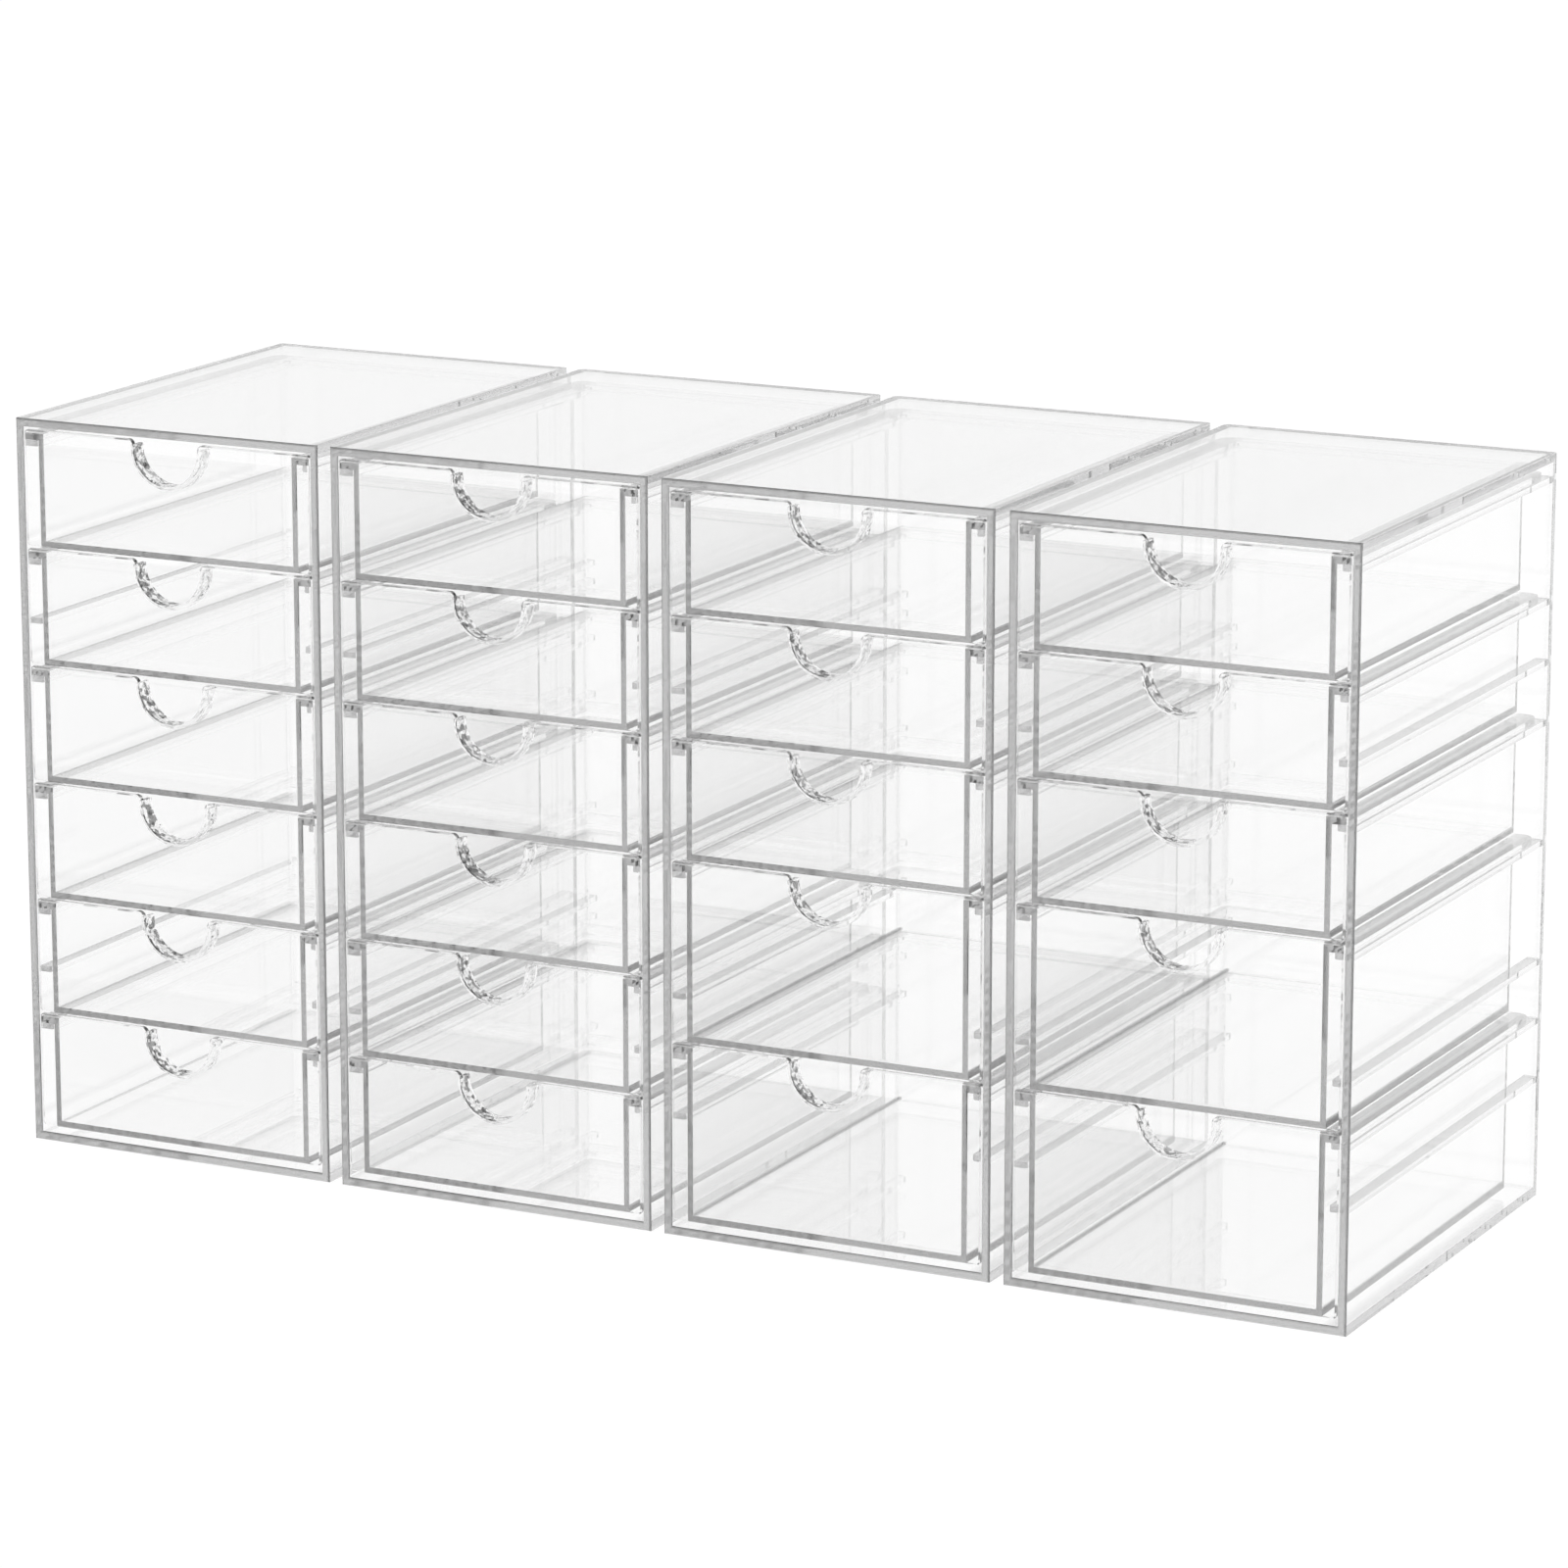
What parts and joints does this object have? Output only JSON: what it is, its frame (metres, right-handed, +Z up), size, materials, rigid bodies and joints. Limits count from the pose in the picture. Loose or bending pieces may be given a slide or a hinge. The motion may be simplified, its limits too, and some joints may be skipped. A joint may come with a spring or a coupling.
{
  "type": "drawer organizer",
  "caption": "Row of clear, open-fronted box cases with side rails, filled with flanged slide-out trays that have flush fronts and lined half-round finger notches.",
  "frame": {"origin": "centre of the row's footprint, on the surface the cases stand on", "axes": "+X along the row to the right as seen from the front, +Y from the drawer fronts to the backs, +Z up"},
  "size_m": [0.5778, 0.205, 0.3],
  "materials": {
    "case_clear": "clear, polished",
    "drawer_clear": "clear, polished"
  },
  "bodies": {
    "cases": {"case_1": "case_clear", "case_2": "case_clear", "case_3": "case_clear", "case_4": "case_clear"},
    "case_1_drawer_1": {"case_1_drawer_1": "drawer_clear"},
    "case_1_drawer_2": {"case_1_drawer_2": "drawer_clear"},
    "case_1_drawer_3": {"case_1_drawer_3": "drawer_clear"},
    "case_1_drawer_4": {"case_1_drawer_4": "drawer_clear"},
    "case_1_drawer_5": {"case_1_drawer_5": "drawer_clear"},
    "case_1_drawer_6": {"case_1_drawer_6": "drawer_clear"},
    "case_2_drawer_1": {"case_2_drawer_1": "drawer_clear"},
    "case_2_drawer_2": {"case_2_drawer_2": "drawer_clear"},
    "case_2_drawer_3": {"case_2_drawer_3": "drawer_clear"},
    "case_2_drawer_4": {"case_2_drawer_4": "drawer_clear"},
    "case_2_drawer_5": {"case_2_drawer_5": "drawer_clear"},
    "case_2_drawer_6": {"case_2_drawer_6": "drawer_clear"},
    "case_3_drawer_1": {"case_3_drawer_1": "drawer_clear"},
    "case_3_drawer_2": {"case_3_drawer_2": "drawer_clear"},
    "case_3_drawer_3": {"case_3_drawer_3": "drawer_clear"},
    "case_3_drawer_4": {"case_3_drawer_4": "drawer_clear"},
    "case_3_drawer_5": {"case_3_drawer_5": "drawer_clear"},
    "case_4_drawer_1": {"case_4_drawer_1": "drawer_clear"},
    "case_4_drawer_2": {"case_4_drawer_2": "drawer_clear"},
    "case_4_drawer_3": {"case_4_drawer_3": "drawer_clear"},
    "case_4_drawer_4": {"case_4_drawer_4": "drawer_clear"},
    "case_4_drawer_5": {"case_4_drawer_5": "drawer_clear"}
  },
  "joints": [
    {"name": "case_1_drawer_1_slide", "type": "slide", "parent": "cases", "child": "case_1_drawer_1", "axis": [0, -1, 0], "range_m": [0, 0.15]},
    {"name": "case_1_drawer_2_slide", "type": "slide", "parent": "cases", "child": "case_1_drawer_2", "axis": [0, -1, 0], "range_m": [0, 0.15]},
    {"name": "case_1_drawer_3_slide", "type": "slide", "parent": "cases", "child": "case_1_drawer_3", "axis": [0, -1, 0], "range_m": [0, 0.15]},
    {"name": "case_1_drawer_4_slide", "type": "slide", "parent": "cases", "child": "case_1_drawer_4", "axis": [0, -1, 0], "range_m": [0, 0.15]},
    {"name": "case_1_drawer_5_slide", "type": "slide", "parent": "cases", "child": "case_1_drawer_5", "axis": [0, -1, 0], "range_m": [0, 0.15]},
    {"name": "case_1_drawer_6_slide", "type": "slide", "parent": "cases", "child": "case_1_drawer_6", "axis": [0, -1, 0], "range_m": [0, 0.15]},
    {"name": "case_2_drawer_1_slide", "type": "slide", "parent": "cases", "child": "case_2_drawer_1", "axis": [0, -1, 0], "range_m": [0, 0.15]},
    {"name": "case_2_drawer_2_slide", "type": "slide", "parent": "cases", "child": "case_2_drawer_2", "axis": [0, -1, 0], "range_m": [0, 0.15]},
    {"name": "case_2_drawer_3_slide", "type": "slide", "parent": "cases", "child": "case_2_drawer_3", "axis": [0, -1, 0], "range_m": [0, 0.15]},
    {"name": "case_2_drawer_4_slide", "type": "slide", "parent": "cases", "child": "case_2_drawer_4", "axis": [0, -1, 0], "range_m": [0, 0.15]},
    {"name": "case_2_drawer_5_slide", "type": "slide", "parent": "cases", "child": "case_2_drawer_5", "axis": [0, -1, 0], "range_m": [0, 0.15]},
    {"name": "case_2_drawer_6_slide", "type": "slide", "parent": "cases", "child": "case_2_drawer_6", "axis": [0, -1, 0], "range_m": [0, 0.15]},
    {"name": "case_3_drawer_1_slide", "type": "slide", "parent": "cases", "child": "case_3_drawer_1", "axis": [0, -1, 0], "range_m": [0, 0.15]},
    {"name": "case_3_drawer_2_slide", "type": "slide", "parent": "cases", "child": "case_3_drawer_2", "axis": [0, -1, 0], "range_m": [0, 0.15]},
    {"name": "case_3_drawer_3_slide", "type": "slide", "parent": "cases", "child": "case_3_drawer_3", "axis": [0, -1, 0], "range_m": [0, 0.15]},
    {"name": "case_3_drawer_4_slide", "type": "slide", "parent": "cases", "child": "case_3_drawer_4", "axis": [0, -1, 0], "range_m": [0, 0.15]},
    {"name": "case_3_drawer_5_slide", "type": "slide", "parent": "cases", "child": "case_3_drawer_5", "axis": [0, -1, 0], "range_m": [0, 0.15]},
    {"name": "case_4_drawer_1_slide", "type": "slide", "parent": "cases", "child": "case_4_drawer_1", "axis": [0, -1, 0], "range_m": [0, 0.15]},
    {"name": "case_4_drawer_2_slide", "type": "slide", "parent": "cases", "child": "case_4_drawer_2", "axis": [0, -1, 0], "range_m": [0, 0.15]},
    {"name": "case_4_drawer_3_slide", "type": "slide", "parent": "cases", "child": "case_4_drawer_3", "axis": [0, -1, 0], "range_m": [0, 0.15]},
    {"name": "case_4_drawer_4_slide", "type": "slide", "parent": "cases", "child": "case_4_drawer_4", "axis": [0, -1, 0], "range_m": [0, 0.15]},
    {"name": "case_4_drawer_5_slide", "type": "slide", "parent": "cases", "child": "case_4_drawer_5", "axis": [0, -1, 0], "range_m": [0, 0.15]}
  ]
}
